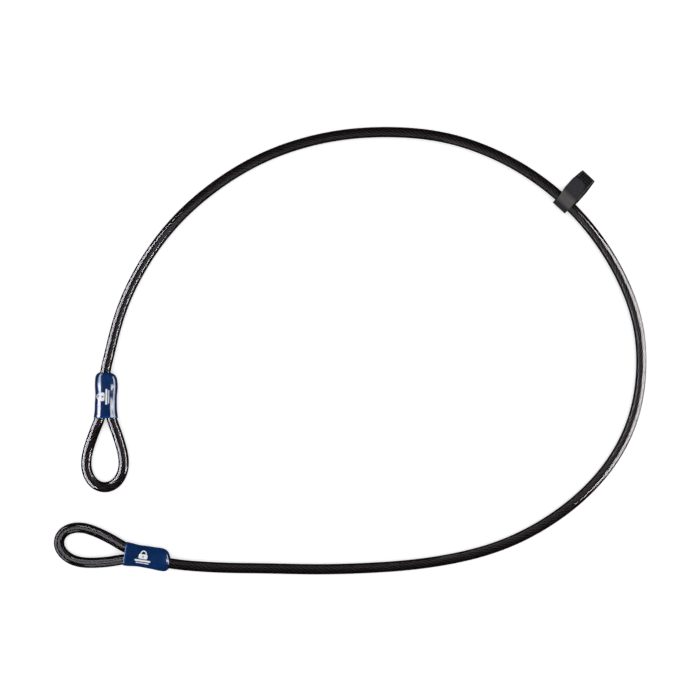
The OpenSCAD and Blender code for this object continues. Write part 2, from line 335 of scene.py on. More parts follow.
def sheath_material():
    """Clear-smoke PVC: see-through, glossy, with faint die lines and rubbed patches."""
    p = Paint("smoke_sheath", transmission_weight=1.0, ior=1.52)
    at = p.coords("along")
    cloud = p.noise(at, 9.0, 4)
    p.set("Base Color", p.blend(p.between(cloud, 0.3, 0.7), *SHEATH_TINTS))
    rub = p.noise(p.scaled(at, (25, 900, 900)), 1.0, 4)
    p.set("Roughness", p.between(rub, 0.35, 0.75, 0.05, 0.12))
    lines = p.noise(p.scaled(at, (6, 1500, 1500)), 1.0, 2)
    p.set("Normal", p.bump(lines, 0.00001, 0.4))
    smoke = p.node("VolumeAbsorption", {"Color": SMOKE, "Density": SMOKE_DENSITY})
    output = p.tree.nodes["Material Output"]
    p.tree.links.new(smoke.outputs[0], output.inputs["Volume"])
    return p.material


def rope_material():
    """Galvanised strands: each shows its own wires, with painted shade in the grooves between the
    wires, and oil and painted shade on each strand's sides away from its crown.
    """
    p = Paint("steel_strands", metallic=0.3, roughness=0.55)
    at = p.coords("along")
    turn = p.math("MULTIPLY", p.axis(at, "Y"), 9.0)
    lay = p.math("MULTIPLY", p.axis(at, "X"), -2 * math.pi / (WIRE_LAY * MM))
    wires = p.math("ABSOLUTE", p.math("SINE", p.math("MULTIPLY", p.math("ADD", turn, lay), 0.5)))
    cloud = p.noise(at, 400.0, 2)
    crown = p.between(p.axis(p.coords("crown"), "X"), 0.35, 0.85)
    steel = p.blend(p.between(cloud, 0.35, 0.65), *STEELS)
    # painted shade: the grooves between the wires are coloured darker
    steel = p.blend(p.between(wires, 0.1, 0.7), STEEL_GROOVE_SHADE, steel)
    # oil and painted shade: each strand is darker on its flanks and inward side than on its outward
    # crown
    p.set("Base Color", p.blend(crown, STEEL_OIL_AND_SHADE, steel))
    p.set("Roughness", p.between(cloud, 0.3, 0.7, 0.45, 0.65))
    p.set("Normal", p.bump(wires, 0.00015, 0.6))
    return p.material


# ---------------------------------------------------------------- cable


def strand_bundle(name, t0, t1, material):
    """Six strands laid right-handed round a core strand, as one mesh."""
    strands, lay, sides, step = 6, ROPE_LAY * MM, 10, 1.8 * MM
    strand_r = ROPE_R * MM / 3
    t, s = even_steps(t0, t1, step)
    at, heading = spline(ROUTE, t)
    across, up = frames(heading)
    n = len(t)
    points, faces, coords, crowns = [], [], [], []
    ring = -math.pi + np.arange(sides) * 2 * math.pi / sides
    crown = np.stack([np.cos(ring), 0 * ring, 0 * ring], -1)
    for k in range(strands + 1):
        if k == strands:
            middle, outward, side = at, across, up
        else:
            a = k * 2 * math.pi / strands + s * 2 * math.pi / lay
            outward = across * np.cos(a)[:, None] + up * np.sin(a)[:, None]
            middle = at + outward * 2 * strand_r
            run = np.gradient(middle, axis=0)
            run /= np.linalg.norm(run, axis=1)[:, None]
            side = np.cross(run, outward)
        rings = middle[:, None] + strand_r * 1.03 * (
            outward[:, None] * np.cos(ring)[:, None] + side[:, None] * np.sin(ring)[:, None])
        points.append(rings.reshape(-1, 3))
        faces += tube_faces(n, sides, k * n * sides)
        apart = np.full(n * sides, k * 3.7)  # keeps the strands' wear from being alike
        coords.append(np.stack([np.repeat(s, sides), np.tile(ring, n), apart], 1))
        crowns.append(np.tile(crown, (n, 1)))
    return make(name, np.concatenate(points), faces, material, "cable",
                {"along": np.concatenate(coords), "crown": np.concatenate(crowns)})


SHEATH = sheath_material()
STEEL = rope_material()


def sheath_piece(name, t0, t1, step, node):
    """One stretch of sheath, with its middle line and length."""
    t, s = even_steps(t0, t1, step * MM)
    points, faces, coords, at = swept_tube(t, s, CABLE_R * MM, 32)
    obj = make(name, points, faces, SHEATH, "cable", {"along": coords})
    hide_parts(node)
    return obj, at, s[-1]


run, run_path, run_length = sheath_piece("sheath_run", T_RUN, T_LAST - T_RUN, 3.0, "sheath_main")
sheath_piece("sheath_first_eye", *T_EYE, 2.4, "sheath_eye_a")
sheath_piece("sheath_second_eye", T_LAST - T_EYE[1], T_LAST - T_EYE[0], 2.4, "sheath_eye_b")
rope = strand_bundle("rope_strands", T_TAIL, T_LAST - T_TAIL, STEEL)
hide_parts("wire_rope")

# ---------------------------------------------------------------- boots

BOOT_PROFILE = [  # u, half width and half thickness past the middle's, share of the exit's shift
    (-51.5, -5.2, -1.3, 1), (-50.6, -3.6, -0.8, 0.8), (-49, -1.7, -0.3, 0.55),
    (-46.5, -0.4, 0, 0.3), (-43, 0.3, 0.2, 0.1), (-38, 0.5, 0.3, 0), (-32, 0.3, 0.2, 0),
    (-24, 0, 0, 0), (-16, 0, 0, 0), (-9, 0.4, 0.1, 0), (-3, 1, 0.3, 0), (0, 1.3, 0.4, 0)]
BOOT_HOLLOW = [  # u, half width, half thickness, share of the shift, roundness of the outline
    (-51.5, 6.25, 6.25, 1, 2), (-49, 6.5, 6.3, 0.8, 2), (-46.5, 7.6, 6.3, 0.5, 2.1),
    (-44, 9.5, 6.4, 0.2, 2.2), (-40, 11.2, 6.5, 0.05, 2.3), (-33, 11.7, 6.6, 0, 2.3),
    (-9, 11.9, 6.8, 0, 2.3), (-3, 12.3, 7, 0, 2.3), (0, 12.4, 7.1, 0, 2.3)]
ROUNDNESS = 2.3
LIP_R = 0.75
PRINT_LIFT, PRINT_T = 0.03, 0.07
BOOTS = [
    dict(name="first", end=END_A, exit_v=-1.5, phase=0.4, node="boot_a", print_at=(-24, -1.9)),
    dict(name="second", end=END_B, exit_v=3.2, phase=2.1, node="boot_b", print_at=(-21.3, 1.0))]


def curve(x, table, column):
    """A smooth curve through one column of a table whose first column is x."""
    x = np.asarray(x, float)
    xs = np.array([row[0] for row in table], float)
    ys = np.array([row[column] for row in table], float)
    slopes = np.gradient(ys, xs)
    i = np.clip(np.searchsorted(xs, x, side="right") - 1, 0, len(xs) - 2)
    h = xs[i + 1] - xs[i]
    f = np.clip((x - xs[i]) / h, 0, 1)
    return ((1 + 2 * f) * (1 - f) ** 2 * ys[i] + f * (1 - f) ** 2 * h * slopes[i]
            + f * f * (3 - 2 * f) * ys[i + 1] + f * f * (f - 1) * h * slopes[i + 1])


def boot_outside(boot, u):
    """Half width, half thickness and sideways shift of the boot's outside at u."""
    wander = u / 5 + boot["phase"]
    width = BOOT_W + curve(u, BOOT_PROFILE, 1) + 0.12 * np.sin(1.7 * wander)
    thick = BOOT_T + curve(u, BOOT_PROFILE, 2) + 0.07 * np.sin(1.1 * wander + 2)
    shift = boot["exit_v"] * curve(u, BOOT_PROFILE, 3) + 0.12 * np.sin(wander + 1)
    return width, thick, shift


def boot_mesh(boot, material):
    """The boot's outside, rolled lip and hollow as one closed skin."""
    sides = 80
    stretches = (-51.5, -43, 18), (-42.2, -6, 40), (-5.2, 0, 10)
    u = np.concatenate([np.linspace(*stretch) for stretch in stretches])
    width, thick, shift = boot_outside(boot, u)
    power = np.full(len(u), ROUNDNESS)
    turn = np.radians([25, 55, 90, 125, 155])
    inset = LIP_R * (1 - np.cos(turn))
    lip = [LIP_R * np.sin(turn), width[-1] - inset, thick[-1] - inset, shift[-1] + 0 * turn,
           0 * turn + ROUNDNESS]
    back = np.concatenate([np.linspace(0, -40, 16), np.linspace(-41.5, -51.5, 10)])
    inner = [back, curve(back, BOOT_HOLLOW, 1), curve(back, BOOT_HOLLOW, 2),
             boot["exit_v"] * curve(back, BOOT_HOLLOW, 3), curve(back, BOOT_HOLLOW, 4)]
    rim = [[-51.85], [(inner[1][-1] + width[0]) / 2], [(inner[2][-1] + thick[0]) / 2],
           [boot["exit_v"]], [2.1]]
    u, width, thick, shift, power = (
        np.concatenate(parts) for parts in zip([u, width, thick, shift, power], lip, inner, rim))
    a = np.arange(sides) * 2 * math.pi / sides
    c, s = np.cos(a)[None], np.sin(a)[None]
    share = 2 / power[:, None]
    v = shift[:, None] + width[:, None] * np.sign(c) * np.abs(c) ** share
    z = BOOT_Z + thick[:, None] * np.sign(s) * np.abs(s) ** share
    uu = np.repeat(u[:, None], sides, 1)
    x, y, z = place(boot["end"], uu, v, z)
    points = np.stack([x, y, z], -1).reshape(-1, 3) * MM
    rows = len(u)
    faces = grid_faces(rows, sides)
    last, around = (rows - 1) * sides, np.arange(sides)
    beside = (around + 1) % sides
    faces += np.stack([last + around, last + beside, beside, around], -1).tolist()
    coords = np.stack([uu.ravel(), v.ravel(), z.ravel() - BOOT_Z], -1) * MM
    obj = make(boot["name"] + "_boot", points, faces, material, "cable",
               {"along": coords})
    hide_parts(boot["node"])


# The print: a padlock sign above two plain bars, x to the right and y up as it is read.


def ring_patch(inner, outer, centre, rings, steps):
    """A flat ring between two closed outlines given as radius by angle."""
    a = np.arange(steps) * 2 * math.pi / steps
    f = np.linspace(0, 1, rings)[:, None]
    r = inner(a)[None] * (1 - f) + outer(a)[None] * f
    return centre[0] + r * np.cos(a), centre[1] + r * np.sin(a), True


def band_patch(x, y, half, steps_across):
    """A flat band of the half width given along the line x, y."""
    line = np.stack([x, y], -1)
    run = np.gradient(line, axis=0)
    run /= np.linalg.norm(run, axis=1)[:, None]
    q = np.linspace(-1, 1, steps_across)[None] * half[:, None]
    return line[:, 0:1] - q * run[:, 1:2], line[:, 1:2] + q * run[:, 0:1], False


def lock_body(a):
    """The padlock's outline as radius by angle."""
    return ((np.abs(np.cos(a)) / 5) ** 6 + (np.abs(np.sin(a)) / 2.8) ** 6) ** (-1 / 6)


def keyhole(a):
    """The keyhole's outline as radius by angle."""
    down = (np.degrees(a) - 270) / 20
    return 0.85 + 1.05 * np.exp(-down ** 2)


def bar(y, length, height):
    """A level bar with round ends."""
    f = np.cos(np.linspace(math.pi, 0, 40))
    half = height / 2 * np.sqrt(np.maximum(0.02, 1 - np.abs(f) ** (2.4 * length / height)))
    return band_patch(f * length / 2, np.full(len(f), y), half, 5)


def sign_parts():
    """The padlock's body and hoop, and the two bars."""
    turn = np.linspace(math.pi, 0, 22)
    hoop_x = np.concatenate([[-2.9] * 4, 2.9 * np.cos(turn), [2.9] * 4])
    leg = [-0.8, -0.6, -0.4, -0.2]
    hoop_y = 5.3 + np.concatenate([leg, 2.8 * np.sin(turn), leg[::-1]])
    return [ring_patch(keyhole, lock_body, (0, 1.7), 5, 56),
            band_patch(hoop_x, hoop_y, np.full(len(hoop_x), 0.62), 4),
            bar(-3.2, 18.4, 2.2), bar(-5.9, 15.4, 1.0)]


def print_mesh(boot, material):
    """The print's ink, draped over the boot."""
    points, faces, start = [], [], 0
    for x, y, closed in sign_parts():
        u, v = boot["print_at"][0] - x, boot["print_at"][1] - y
        width, thick, shift = boot_outside(boot, u)
        rise = np.clip(1 - np.abs((v - shift) / width) ** ROUNDNESS, 0.01, 1) ** (1 / ROUNDNESS)
        px, py, pz = place(boot["end"], u, v, BOOT_Z + thick * rise + PRINT_LIFT)
        points.append(np.stack([px, py, pz], -1).reshape(-1, 3) * MM)
        faces += grid_faces(x.shape[0], x.shape[1], closed, start)
        start += x.size
    obj = make(boot["name"] + "_print", np.concatenate(points), faces, material, "cable")
    ink = obj.modifiers.new("ink", "SOLIDIFY")
    ink.thickness = PRINT_T * MM
    ink.offset = 0


def boot_material():
    """Dipped navy vinyl: glossy, a little uneven, scuffed, with painted light making it paler where
    the lip is thin.
    """
    p = Paint("blue_boot", ior=1.5, coat_weight=0.2, coat_roughness=0.05)
    at = p.coords("along")
    cloud = p.noise(at, 60.0, 4)
    deep = p.blend(p.between(cloud, 0.3, 0.7), *BOOT_BLUES)
    # painted light: the rim by the mouth is coloured paler blue, for light showing through the thin
    # lip
    lip = p.between(p.axis(at, "X"), -0.0022, 0.0002)
    scuff = p.noise(p.scaled(at, (300, 1400, 900), (0.3, 0.2, 0.7)), 1.0, 5, 0.6)
    marks = p.between(scuff, 0.66, 0.74)
    worn = p.blend(p.math("MULTIPLY", marks, 0.22), deep, BOOT_SCUFF)
    p.set("Base Color", p.blend(p.math("MULTIPLY", lip, 0.8), worn, BOOT_LIP_PAINTED_LIGHT))
    smudge = p.noise(at, 160.0, 4)
    gloss = p.between(smudge, 0.35, 0.7, 0.09, 0.2)
    p.set("Roughness", p.math("ADD", gloss, p.math("MULTIPLY", marks, 0.2)))
    dimple = p.bump(p.noise(at, 350.0, 2), 0.00012, 0.35)
    p.set("Normal", p.bump(p.noise(at, 2600.0, 3), 0.00002, 0.5, dimple))
    return p.material


def ink_material():
    """White ink with thin and greyed patches."""
    p = Paint("print_white", roughness=0.42)
    at = p.place()
    cloud = p.noise(at, 900.0, 4)
    p.set("Base Color", p.blend(p.between(cloud, 0.35, 0.72), *PRINT_WHITES))
    p.set("Roughness", p.between(cloud, 0.3, 0.7, 0.35, 0.55))
    p.set("Normal", p.bump(p.noise(at, 4000.0, 2), 0.00002, 0.5))
    return p.material


def metal_material():
    """Pressed aluminium: die lines along it, scratches, dull and bright patches."""
    p = Paint("ferrule_metal", metallic=1.0)
    at = p.place()
    lines = p.noise(p.scaled(at, (1800, 1800, 120)), 1.0, 3)
    cloud = p.noise(at, 260.0, 4)
    p.set("Base Color", p.blend(p.between(cloud, 0.3, 0.7), *ALUMINIUMS))
    p.set("Roughness", p.between(lines, 0.3, 0.7, 0.24, 0.5))
    p.set("Normal", p.bump(lines, 0.00006, 0.6, p.bump(cloud, 0.0003, 0.5)))
    return p.material


BOOT_PAINT, INK, METAL = boot_material(), ink_material(), metal_material()
for boot in BOOTS:
    boot_mesh(boot, BOOT_PAINT)
    print_mesh(boot, INK)
for name in ("ferrule_a", "ferrule_b"):
    ferrule = frame["nodes"][name]
    ferrule.data.materials.clear()
    ferrule.data.materials.append(METAL)

# ---------------------------------------------------------------- strap

TAIL_END = 41.8
BEND_W, BEND_R = -2.5, 8.1
BAND_HALF_T, FLAP_HALF_T = 0.68, 0.6
BASE_Z = 1.5  # underside of the hook tape
PATCH_W0, PATCH_W1, PATCH_HALF = 12.0, 41.4, 9.3  # the hook tape's ends and half width
PATCH_HALF_T, PATCH_COLUMNS = 0.3, 62
THREAD_PITCH = 1.2
TAPE_STEP, TAPE_COLUMNS = 0.3, 66
HOOK_ROWS, HOOK_ROW_GAP, HOOK_GROUPS, HOOK_GROUP_GAP = 6, 3.1, 9, 3.05
LOOP_GAP, LOOP_SIDES = 1.25, 5
STITCHES, STITCH_GAP, STITCH_SIDES = 9, 3.2, 8
TAPE_MID = STRAP_T / 2
RIDGE, WEAVE = 0.16, 0.2  # height of the tape's edge ridge and of its weave
CORNER_R = 0.9  # rounding of the tail's corners
TIP_FINE = 1.2  # the flap's last stretch, in finer steps for its round tip
FLAP_REST_Z = 4.2  # middle of the flap where it lies on the hooks
INNER_FACE = 100  # added to the edge distance of the tape's inner face, which its colour reads to paint that face near-black as painted shade
HOOK_MARK = -1  # the hooks' own edge distance, so that only the ground between them is painted black as shade
BEND_S = 0.0672  # metres along the tape to the bend over the cable, where a lighter band of painted sheen and wear lies
FLAP_ROUTE = [(0.4, 15.5), (3, 15.4), (5.6, 14.75), (8, 13), (10, 10.7), (12, 8.2), (14, 6.1),
              (16.5, 4.7), (19.5, 4.25), (23, 4.2), (27, 4.2), (31.7, 4.2)]
TAIL_LEFT = [(-2.5, 9.2), (3, 8.4), (8, 8), (16, 9.2), (25, 10.8), (33, 10.5), (41.8, 9.3)]
TAIL_RIGHT = [(-2.5, -10.5), (3, -11.6), (8, -12.6), (16, -12.8), (25, -12.5), (33, -11.7),
              (41.8, -10.6)]
FLAP_LEFT = [(-2.5, 8.9), (4, 9.9), (9, 10.8), (16, 11.1), (27, 11.2), (28.8, 11.0), (29.6, 10.3),
             (30.3, 8.6), (31, 6.2), (31.5, 4), (31.7, 2.6)]
FLAP_RIGHT = [(-2.5, -10.3), (6, -10), (16, -9.8), (21, -9.2), (25.8, -8.1), (28, -6.8),
              (29.5, -5.2), (30.6, -3), (31.3, -0.6), (31.6, 1), (31.7, 2.2)]


def strap_place(w, y, z):
    """The point of the strap's own axes: w outward from the cable's middle, y along the cable."""
    a = math.radians(STRAP_ANGLE)
    x0, y0 = ARC_X + ARC_R * math.cos(a), ARC_Y + ARC_R * math.sin(a)
    return np.stack([x0 + w * math.cos(a) - y * math.sin(a), y0 + w * math.sin(a) + y * math.cos(a),
                     z + 0 * w], -1) * MM


def tail_edges(w):
    """The tail runs a little askew, and spreads where the flap presses on it."""
    return curve(w, TAIL_LEFT, 1), curve(w, TAIL_RIGHT, 1)


def tail_middle(w):
    left, right = tail_edges(w)
    return (left + right) / 2


def weave(s, y):
    """Height of a plain weave, 0 to 1."""
    i, j = np.floor(s / THREAD_PITCH), np.floor(y / THREAD_PITCH)
    fs, fy = s / THREAD_PITCH - i, y / THREAD_PITCH - j
    over = np.where((i + j) % 2 < 1, 1.0, 0.0)
    warp = np.sin(math.pi * fy) * (0.35 + 0.65 * over * np.sin(math.pi * fs))
    weft = np.sin(math.pi * fs) * (0.35 + 0.65 * (1 - over) * np.sin(math.pi * fy))
    return np.maximum(warp, weft)


def tape_mesh(path, s, left, right, half_t, columns, tip, border=0.0):
    """A woven tape along path [w, z], between the edges left and right; its free end is at tip."""
    run = np.gradient(path, axis=0)
    run /= np.linalg.norm(run, axis=1)[:, None]
    out = np.stack([-run[:, 1], run[:, 0]], -1)
    q = np.linspace(1, -1, columns + 2)[1:-1]
    q = np.concatenate([q, q[::-1]])
    face = np.repeat([1.0, -1.0], columns)
    middle, half_w = (left + right) / 2, (left - right) / 2
    y = middle[:, None] + half_w[:, None] * q[None]
    edge = half_w[:, None] * (1 - np.abs(q))[None]
    end = np.abs(s - tip)[:, None]
    rounding = np.sqrt(1 - (1 - np.clip(edge / 0.7, 0, 1)) ** 2)
    ridge = RIDGE * np.exp(-((edge - 0.75) / 0.35) ** 2)
    groove = border * np.exp(-((edge - 1.7) / 0.3) ** 2)
    cloth = WEAVE * weave(s[:, None] + 0 * y, y + 30) * np.clip((edge - 0.9) / 0.5, 0, 1)
    height = face[None] * ((half_t - RIDGE + ridge - groove + cloth) * np.maximum(rounding, 0.25))
    w = path[:, 0:1] + height * out[:, 0:1]
    z = path[:, 1:2] + height * out[:, 1:2]
    points = strap_place(w, y, z).reshape(-1, 3)
    n, m = y.shape
    faces = tube_faces(n, m)
    near = np.minimum(edge, end + 0 * edge) + INNER_FACE * (face[None] < 0)
    coords = np.stack([(s[:, None] + 0 * y).ravel(), y.ravel(), near.ravel()], -1) * MM
    return points, faces, coords


def path_through(points, step):
    """Even steps along a smooth line through the points, and the lengths."""
    points = np.array(points, float)
    t = np.concatenate([[0], np.cumsum(np.linalg.norm(np.diff(points, axis=0), axis=1))])
    table = np.column_stack([t, points])
    fine = np.linspace(0, t[-1], 3000)
    line = np.stack([curve(fine, table, 1), curve(fine, table, 2)], -1)
    s = np.concatenate([[0], np.cumsum(np.linalg.norm(np.diff(line, axis=0), axis=1))])
    marks = np.linspace(0, s[-1], int(round(s[-1] / step)) + 1)
    return np.stack([np.interp(marks, s, line[:, 0]), np.interp(marks, s, line[:, 1])], -1), marks


def fabric_material():
    """Black nylon tape: woven threads and fuzz, with painted shade in the gaps between the threads,
    a darker line along the edges, a band of painted sheen and wear over the bend, and the inner
    face painted near-black as shade.
    """
    p = Paint("strap_fabric", sheen_weight=0.04, sheen_roughness=0.4, specular_ior_level=0.06)
    at = p.coords("along")
    along, over, edge = p.axis(at, "X"), p.axis(at, "Y"), p.axis(at, "Z")
    cell = math.pi / (THREAD_PITCH * MM)
    across = p.math("SINE", p.math("MULTIPLY", along, cell))
    lengthwise = p.math("SINE", p.math("MULTIPLY", over, cell))
    knuckle = p.math("POWER", p.math("ABSOLUTE", p.math("MULTIPLY", across, lengthwise)), 0.6)
    streak = p.noise(p.scaled(at, (220, 2600, 1)), 1.0, 3)
    cloud = p.noise(at, 240.0, 4)
    tone = p.blend(p.between(streak, 0.32, 0.68), *TAPE_BLACKS)
    dust = p.math("MULTIPLY", p.between(cloud, 0.4, 0.75), 0.4)
    tone = p.blend(dust, tone, (0.060, 0.057, 0.058))
    # painted shade: the gaps between the threads are coloured near-black
    tone = p.blend(knuckle, (0.006, 0.006, 0.008), tone)
    seam = p.math("MULTIPLY", p.between(edge, 0.0013, 0.0016), p.between(edge, 0.0021, 0.0018))
    tone = p.blend(p.math("MULTIPLY", seam, 0.5), tone, (0.012, 0.012, 0.014))
    bend = p.math("MULTIPLY", p.between(along, BEND_S - 0.004, BEND_S),
                  p.between(along, BEND_S + 0.015, BEND_S + 0.007))
    sheen_streaks = p.noise(p.scaled(at, (1500, 90, 1)), 1.0, 3)
    bend_sheen_and_wear = p.math("MULTIPLY", bend, p.between(sheen_streaks, 0.25, 0.75, 0.35, 1.0))
    # painted sheen and wear: a lighter band with fine streaks across the tape over the bend
    tone = p.blend(bend_sheen_and_wear, tone, (0.125, 0.117, 0.112))
    mottle = p.between(p.noise(at, 520.0, 4, 0.65), 0.42, 0.62)
    tone = p.blend(p.math("MULTIPLY", mottle, 0.3), tone, (0.066, 0.062, 0.075))
    # painted shade: the tape's inner face, which shows on the tail beside the hook tape, is
    # coloured near-black
    tone = p.blend(p.between(edge, 0.05, 0.06), tone, (0.006, 0.006, 0.007))
    p.set("Base Color", tone)
    p.set("Roughness", p.between(cloud, 0.3, 0.7, 0.62, 0.85))
    fuzz = p.noise(p.scaled(at, (3000, 5200, 3000)), 1.0, 4, 0.7)
    threads = p.bump(knuckle, 0.00012, 0.6)
    p.set("Normal", p.bump(fuzz, 0.00012, 0.7, threads))
    return p.material


def hook_material():
    """Stiff nylon hooks: lighter and shinier than the black ground that they stand in; the ground
    among the hooks is painted near-black as shade.
    """
    p = Paint("hook_tape", specular_ior_level=0.1)
    at = p.place()
    cloud = p.noise(at, 700.0, 3)
    edge = p.axis(p.coords("along"), "Z")
    tone = p.blend(p.between(cloud, 0.3, 0.7), *HOOK_TONES)
    # painted shade: the ground among the hooks is much darker than the hook-free margin
    ground = p.blend(p.between(edge, 0.0012, 0.0016), HOOK_EDGE, HOOK_GROUND_SHADE)
    tone = p.blend(p.between(edge, HOOK_MARK * 0.5, 0), tone, ground)
    p.set("Base Color", tone)
    p.set("Roughness", p.between(cloud, 0.3, 0.7, 0.28, 0.5))
    p.set("Normal", p.bump(p.noise(at, 5000.0, 3), 0.00005, 0.6))
    return p.material


def thread_material():
    """Twisted black nylon thread, with painted shade in the grooves of its twist."""
    p = Paint("thread", roughness=0.55, sheen_weight=0.2)
    at = p.coords("along")
    twist = p.wave(p.scaled(at, (1, 1, 1), (0.6, 0, 0)), 900.0)
    # painted shade: the thread is coloured darker where its twist dips
    p.set("Base Color", p.blend(twist, *THREAD_TWIST_SHADE_TONES))
    p.set("Roughness", p.between(twist, 0, 1, 0.45, 0.7))
    p.set("Normal", p.bump(twist, 0.00006, 0.8))
    return p.material


def wires(lines, radius, sides):
    """Many thin round wires as one point and face list; every line has the same count of points."""
    lines = np.asarray(lines, float)
    run = np.gradient(lines, axis=1)
    run /= np.linalg.norm(run, axis=2)[..., None]
    side = np.cross(run, np.array([0.13, 0.21, 0.97]))
    side /= np.linalg.norm(side, axis=2)[..., None]
    other = np.cross(side, run)
    a = np.arange(sides) * 2 * math.pi / sides
    rings = lines[:, :, None] + radius * (side[:, :, None] * np.cos(a)[:, None]
                                          + other[:, :, None] * -np.sin(a)[:, None])
    count, n = lines.shape[:2]
    faces = []
    for k in range(count):
        faces += tube_faces(n, sides, k * n * sides)
    return rings.reshape(-1, 3), faces


FABRIC, HOOKS, THREAD = fabric_material(), hook_material(), thread_material()

turn = np.radians(np.arange(-90, -271, -6))
tail_line = [(w, TAPE_MID) for w in np.linspace(TAIL_END, BEND_W + 3, 12)]
bend_r = BEND_R - TAPE_MID
bend_line = [(BEND_W + bend_r * math.cos(a), BEND_R + bend_r * math.sin(a)) for a in turn]
band_path, band_s = path_through(tail_line + bend_line, TAPE_STEP)
lower = band_path[:, 1] < 4
wrap_share = smooth((band_path[:, 1] - 2) / 12)
left, right = tail_edges(np.where(lower, band_path[:, 0], BEND_W))
corner = CORNER_R * (1 - np.sqrt(1 - (1 - np.clip(band_s / CORNER_R, 0, 1)) ** 2))
left, right = left - 0.3 * wrap_share - corner, right + 0.2 * wrap_share + corner
points, faces, coords = tape_mesh(band_path, band_s, left, right, BAND_HALF_T, TAPE_COLUMNS, 0)
band = make("tape_band", points, faces, FABRIC, "strap", {"along": coords})
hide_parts("strap_band")

flap_path, flap_s = path_through([(BEND_W, BEND_R * 2 - TAPE_MID)] + FLAP_ROUTE, TAPE_STEP)
last = flap_s[-1]
to_tip = TIP_FINE * (1 - np.sin(np.linspace(0, math.pi / 2, 12)))
flap_s = np.concatenate([flap_s[flap_s < last - TIP_FINE], last - to_tip])
even_s = np.linspace(0, last, len(flap_path))
flap_path = np.stack([np.interp(flap_s, even_s, flap_path[:, k]) for k in (0, 1)], -1)
left, right = curve(flap_path[:, 0], FLAP_LEFT, 1), curve(flap_path[:, 0], FLAP_RIGHT, 1)
thick = BAND_HALF_T + (FLAP_HALF_T - BAND_HALF_T) * smooth(flap_s / 10)[:, None]
points, faces, coords = tape_mesh(flap_path, band_s[-1] + flap_s, left, right, thick, TAPE_COLUMNS,
                                  band_s[-1] + flap_s[-1], 0.12)
flap = make("tape_flap", points, faces, FABRIC, None, {"along": coords})
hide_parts("strap_flap")
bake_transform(flap)

# hook tape: a woven base with bent hooks in groups of four
patch_line = [(w, BASE_Z + 0.45) for w in np.linspace(PATCH_W0, PATCH_W1, 12)]
patch_path, patch_s = path_through(patch_line, TAPE_STEP)
middle = tail_middle(patch_path[:, 0])
base = tape_mesh(patch_path, patch_s, middle + PATCH_HALF, middle - PATCH_HALF, PATCH_HALF_T,
                 PATCH_COLUMNS, patch_s[-1])
hooks = []
for row in range(HOOK_ROWS):
    for k in range(HOOK_GROUPS):
        for dw, dy in ((-0.45, -0.3), (0.45, -0.3), (-0.45, 0.3), (0.45, 0.3)):
            w = PATCH_W1 - 1.7 - k * HOOK_GROUP_GAP + dw + rng.normal(0, 0.06)
            y = -7.75 + row * HOOK_ROW_GAP + dy + rng.normal(0, 0.06)
            lean = math.copysign(1 + rng.normal(0, 0.12), dy)
            tall = 1.25 + rng.normal(0, 0.05)
            bend = np.linspace(-0.25 * math.pi, 1.05 * math.pi, 7)
            reach = np.concatenate([[0], 0.34 * (1 - np.cos(np.maximum(bend, 0)))]) - 0.15
            height = np.concatenate([[0], tall * 0.6 + 0.42 * np.sin(bend)])
            hooks.append(strap_place(w + 0.1 * lean * reach, y + tail_middle(w) + lean * reach,
                                     BASE_Z + 0.6 + height))
wire_points, wire_faces = wires(hooks, 0.19 * MM, 5)
start = len(base[0])
hook_shade = np.concatenate([base[2], np.tile([0, 0, HOOK_MARK], (len(wire_points), 1))])
hook_obj = make("hook_tape", np.concatenate([base[0], wire_points]),
                base[1] + [[i + start for i in f] for f in wire_faces], HOOKS, "strap",
                {"along": hook_shade})
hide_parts("hook_patch")

stitches, marks = [], []
for side in (-1, 1):
    for k in range(STITCHES):
        f = np.linspace(-1, 1, 9)
        w = PATCH_W0 + 1.6 + k * STITCH_GAP + f * 1.25
        y = side * (PATCH_HALF - 0.9) + tail_middle(w) + 0.06 * np.sin(f * 2)
        stitches.append(strap_place(w, y, BASE_Z + 0.88 + 0.16 * (1 - f ** 4) - 0.22 * f ** 8))
        marks.append(w)
wire_points, wire_faces = wires(stitches, 0.2 * MM, STITCH_SIDES)
marks = np.concatenate(marks)
thread_coords = np.repeat(np.stack([marks, 0 * marks, 0 * marks], -1), STITCH_SIDES, 0) * MM
thread_coords[:, 1] = np.tile(np.arange(STITCH_SIDES) * 0.00016, len(marks))
thread_obj = make("seam_stitches", wire_points, wire_faces, THREAD, "strap",
                  {"along": thread_coords})
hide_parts("patch_stitching")

# the loops under the flap that the hooks catch in
loops = []
for w in np.arange(19.0, 30.0, LOOP_GAP):
    for y in np.arange(curve(w, FLAP_RIGHT, 1) + 1.6, curve(w, FLAP_LEFT, 1) - 1.4, LOOP_GAP):
        f = np.linspace(0, math.pi, 6)
        spin = rng.uniform(0, math.pi)
        reach = 0.32 * np.cos(f)
        cw, cy = w + rng.normal(0, 0.15), y + rng.normal(0, 0.15)
        loops.append(strap_place(cw + reach * math.cos(spin), cy + reach * math.sin(spin),
                                 FLAP_REST_Z - 0.5 - (0.36 + rng.uniform(-0.06, 0.04)) * np.sin(f)))
wire_points, wire_faces = wires(loops, 0.07 * MM, LOOP_SIDES)
make("flap_loops", wire_points, wire_faces, THREAD, "flap",
     {"along": np.repeat(np.asarray(loops).reshape(-1, 3), LOOP_SIDES, 0)})

# ---------------------------------------------------------------- light and floor

# the pieces that a light can be held to
FIRST = ("first_boot", "first_print")
SHEATHS = ("sheath_run", "sheath_first_eye", "sheath_second_eye")
SECOND = ("sheath_second_eye",)
SECOND_BOOT = ("second_boot", "second_print")
PIECES = [obj.name for obj in bpy.context.scene.objects if obj.type == "MESH"]
NOT_EYE = [name for name in PIECES if name not in SECOND]
NOT_EYE_NOR_FIRST = [name for name in NOT_EYE if name not in FIRST]
